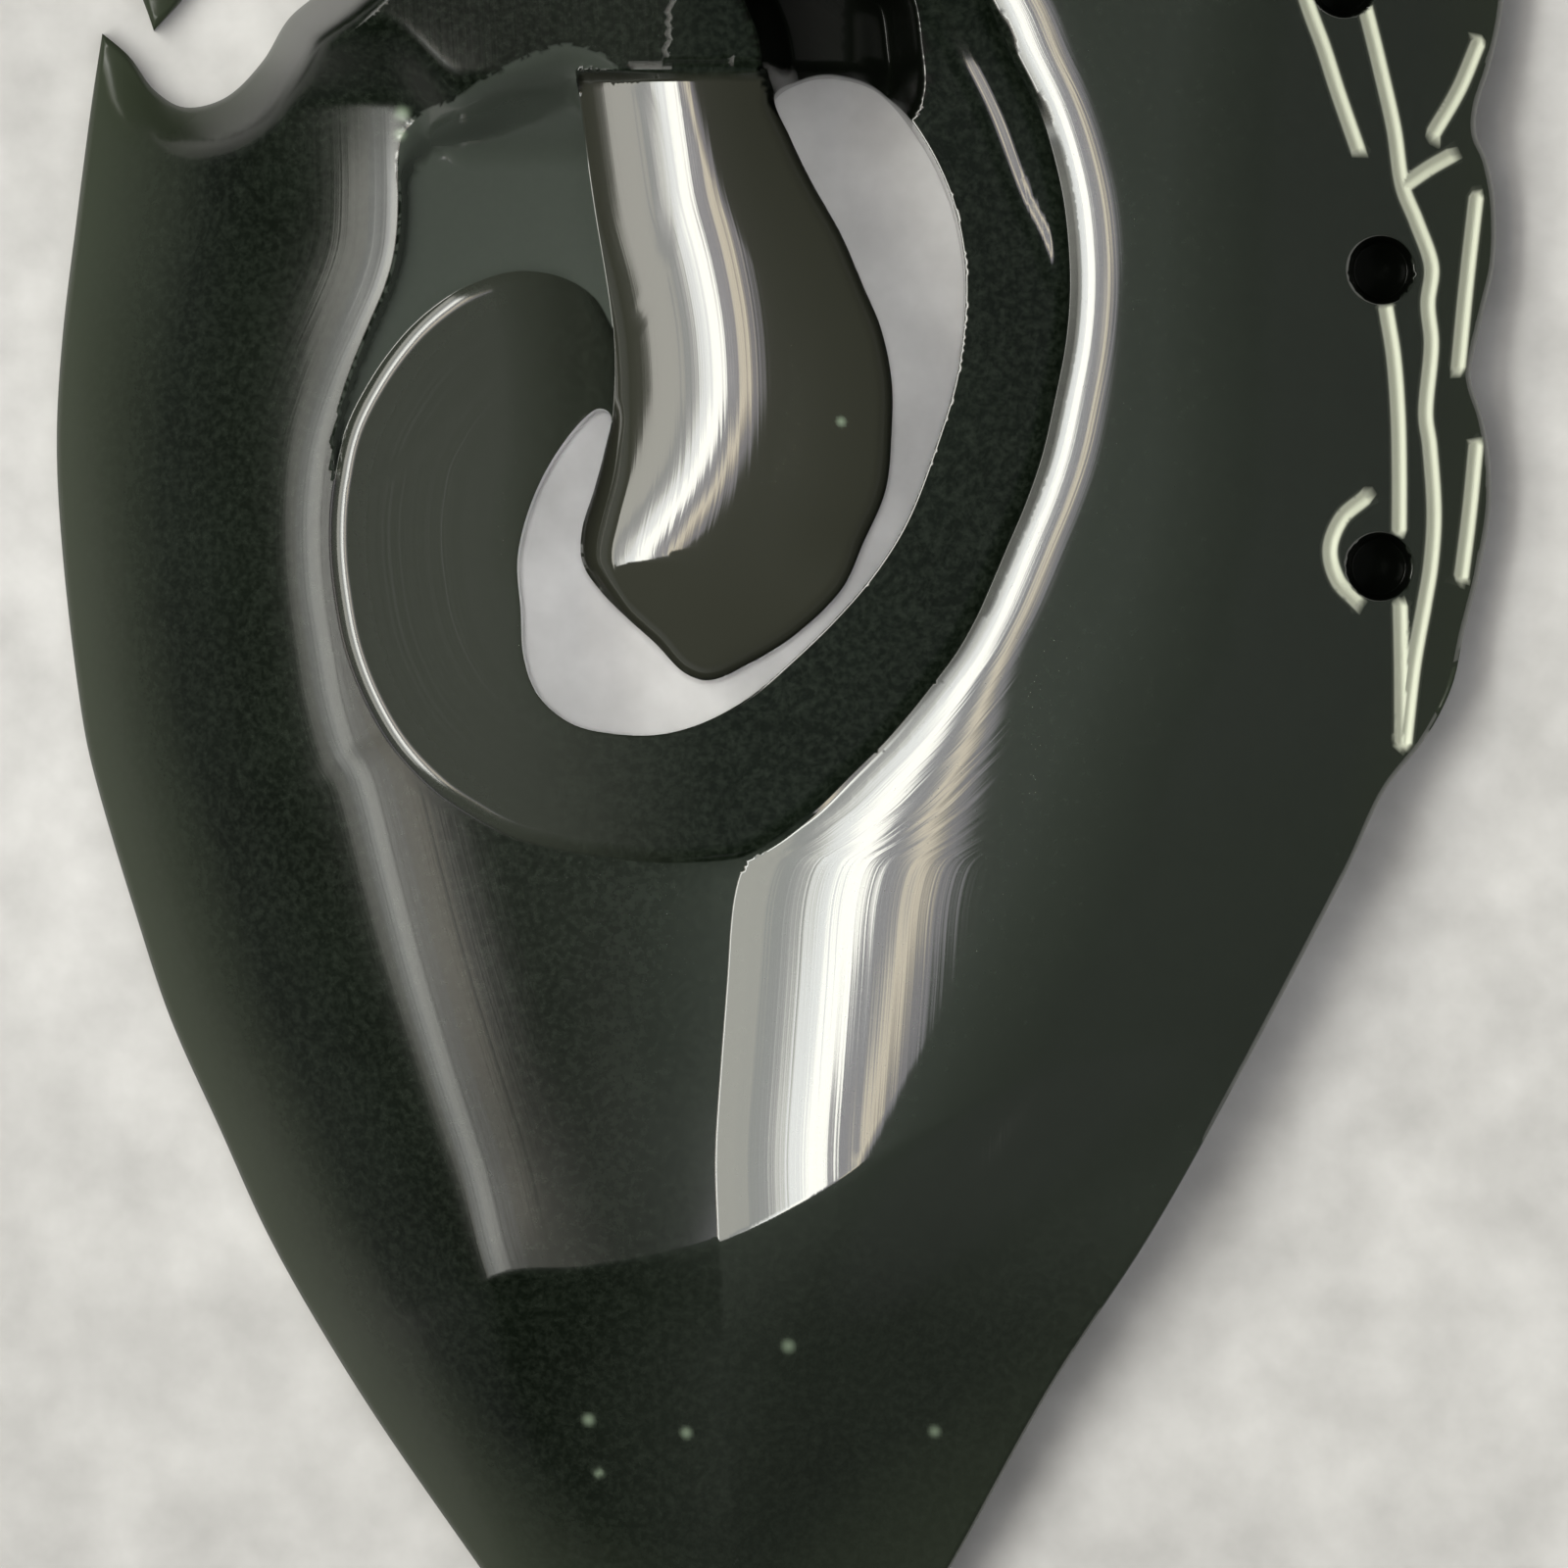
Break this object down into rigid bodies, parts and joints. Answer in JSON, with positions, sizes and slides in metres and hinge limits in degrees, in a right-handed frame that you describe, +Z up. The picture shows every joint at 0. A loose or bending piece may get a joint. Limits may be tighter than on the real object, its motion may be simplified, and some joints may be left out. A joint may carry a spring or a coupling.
{
  "type": "manaia pendant",
  "caption": "Flat-backed pendant carved in dark green stone, a coiled figure with an open mouth, a pierced crescent slot, cut lines and a drilled hole for a neck cord.",
  "frame": {"origin": "middle of the pendant's box, on the surface that its flat back rests on", "axes": "+Z up out of the carved face, +Y along the pendant to its crown, +X away from the mouth"},
  "size_m": [0.035, 0.0616, 0.007],
  "materials": {
    "jade": "polished"
  },
  "bodies": {
    "root": {"carved_pendant": "jade"}
  },
  "joints": []
}
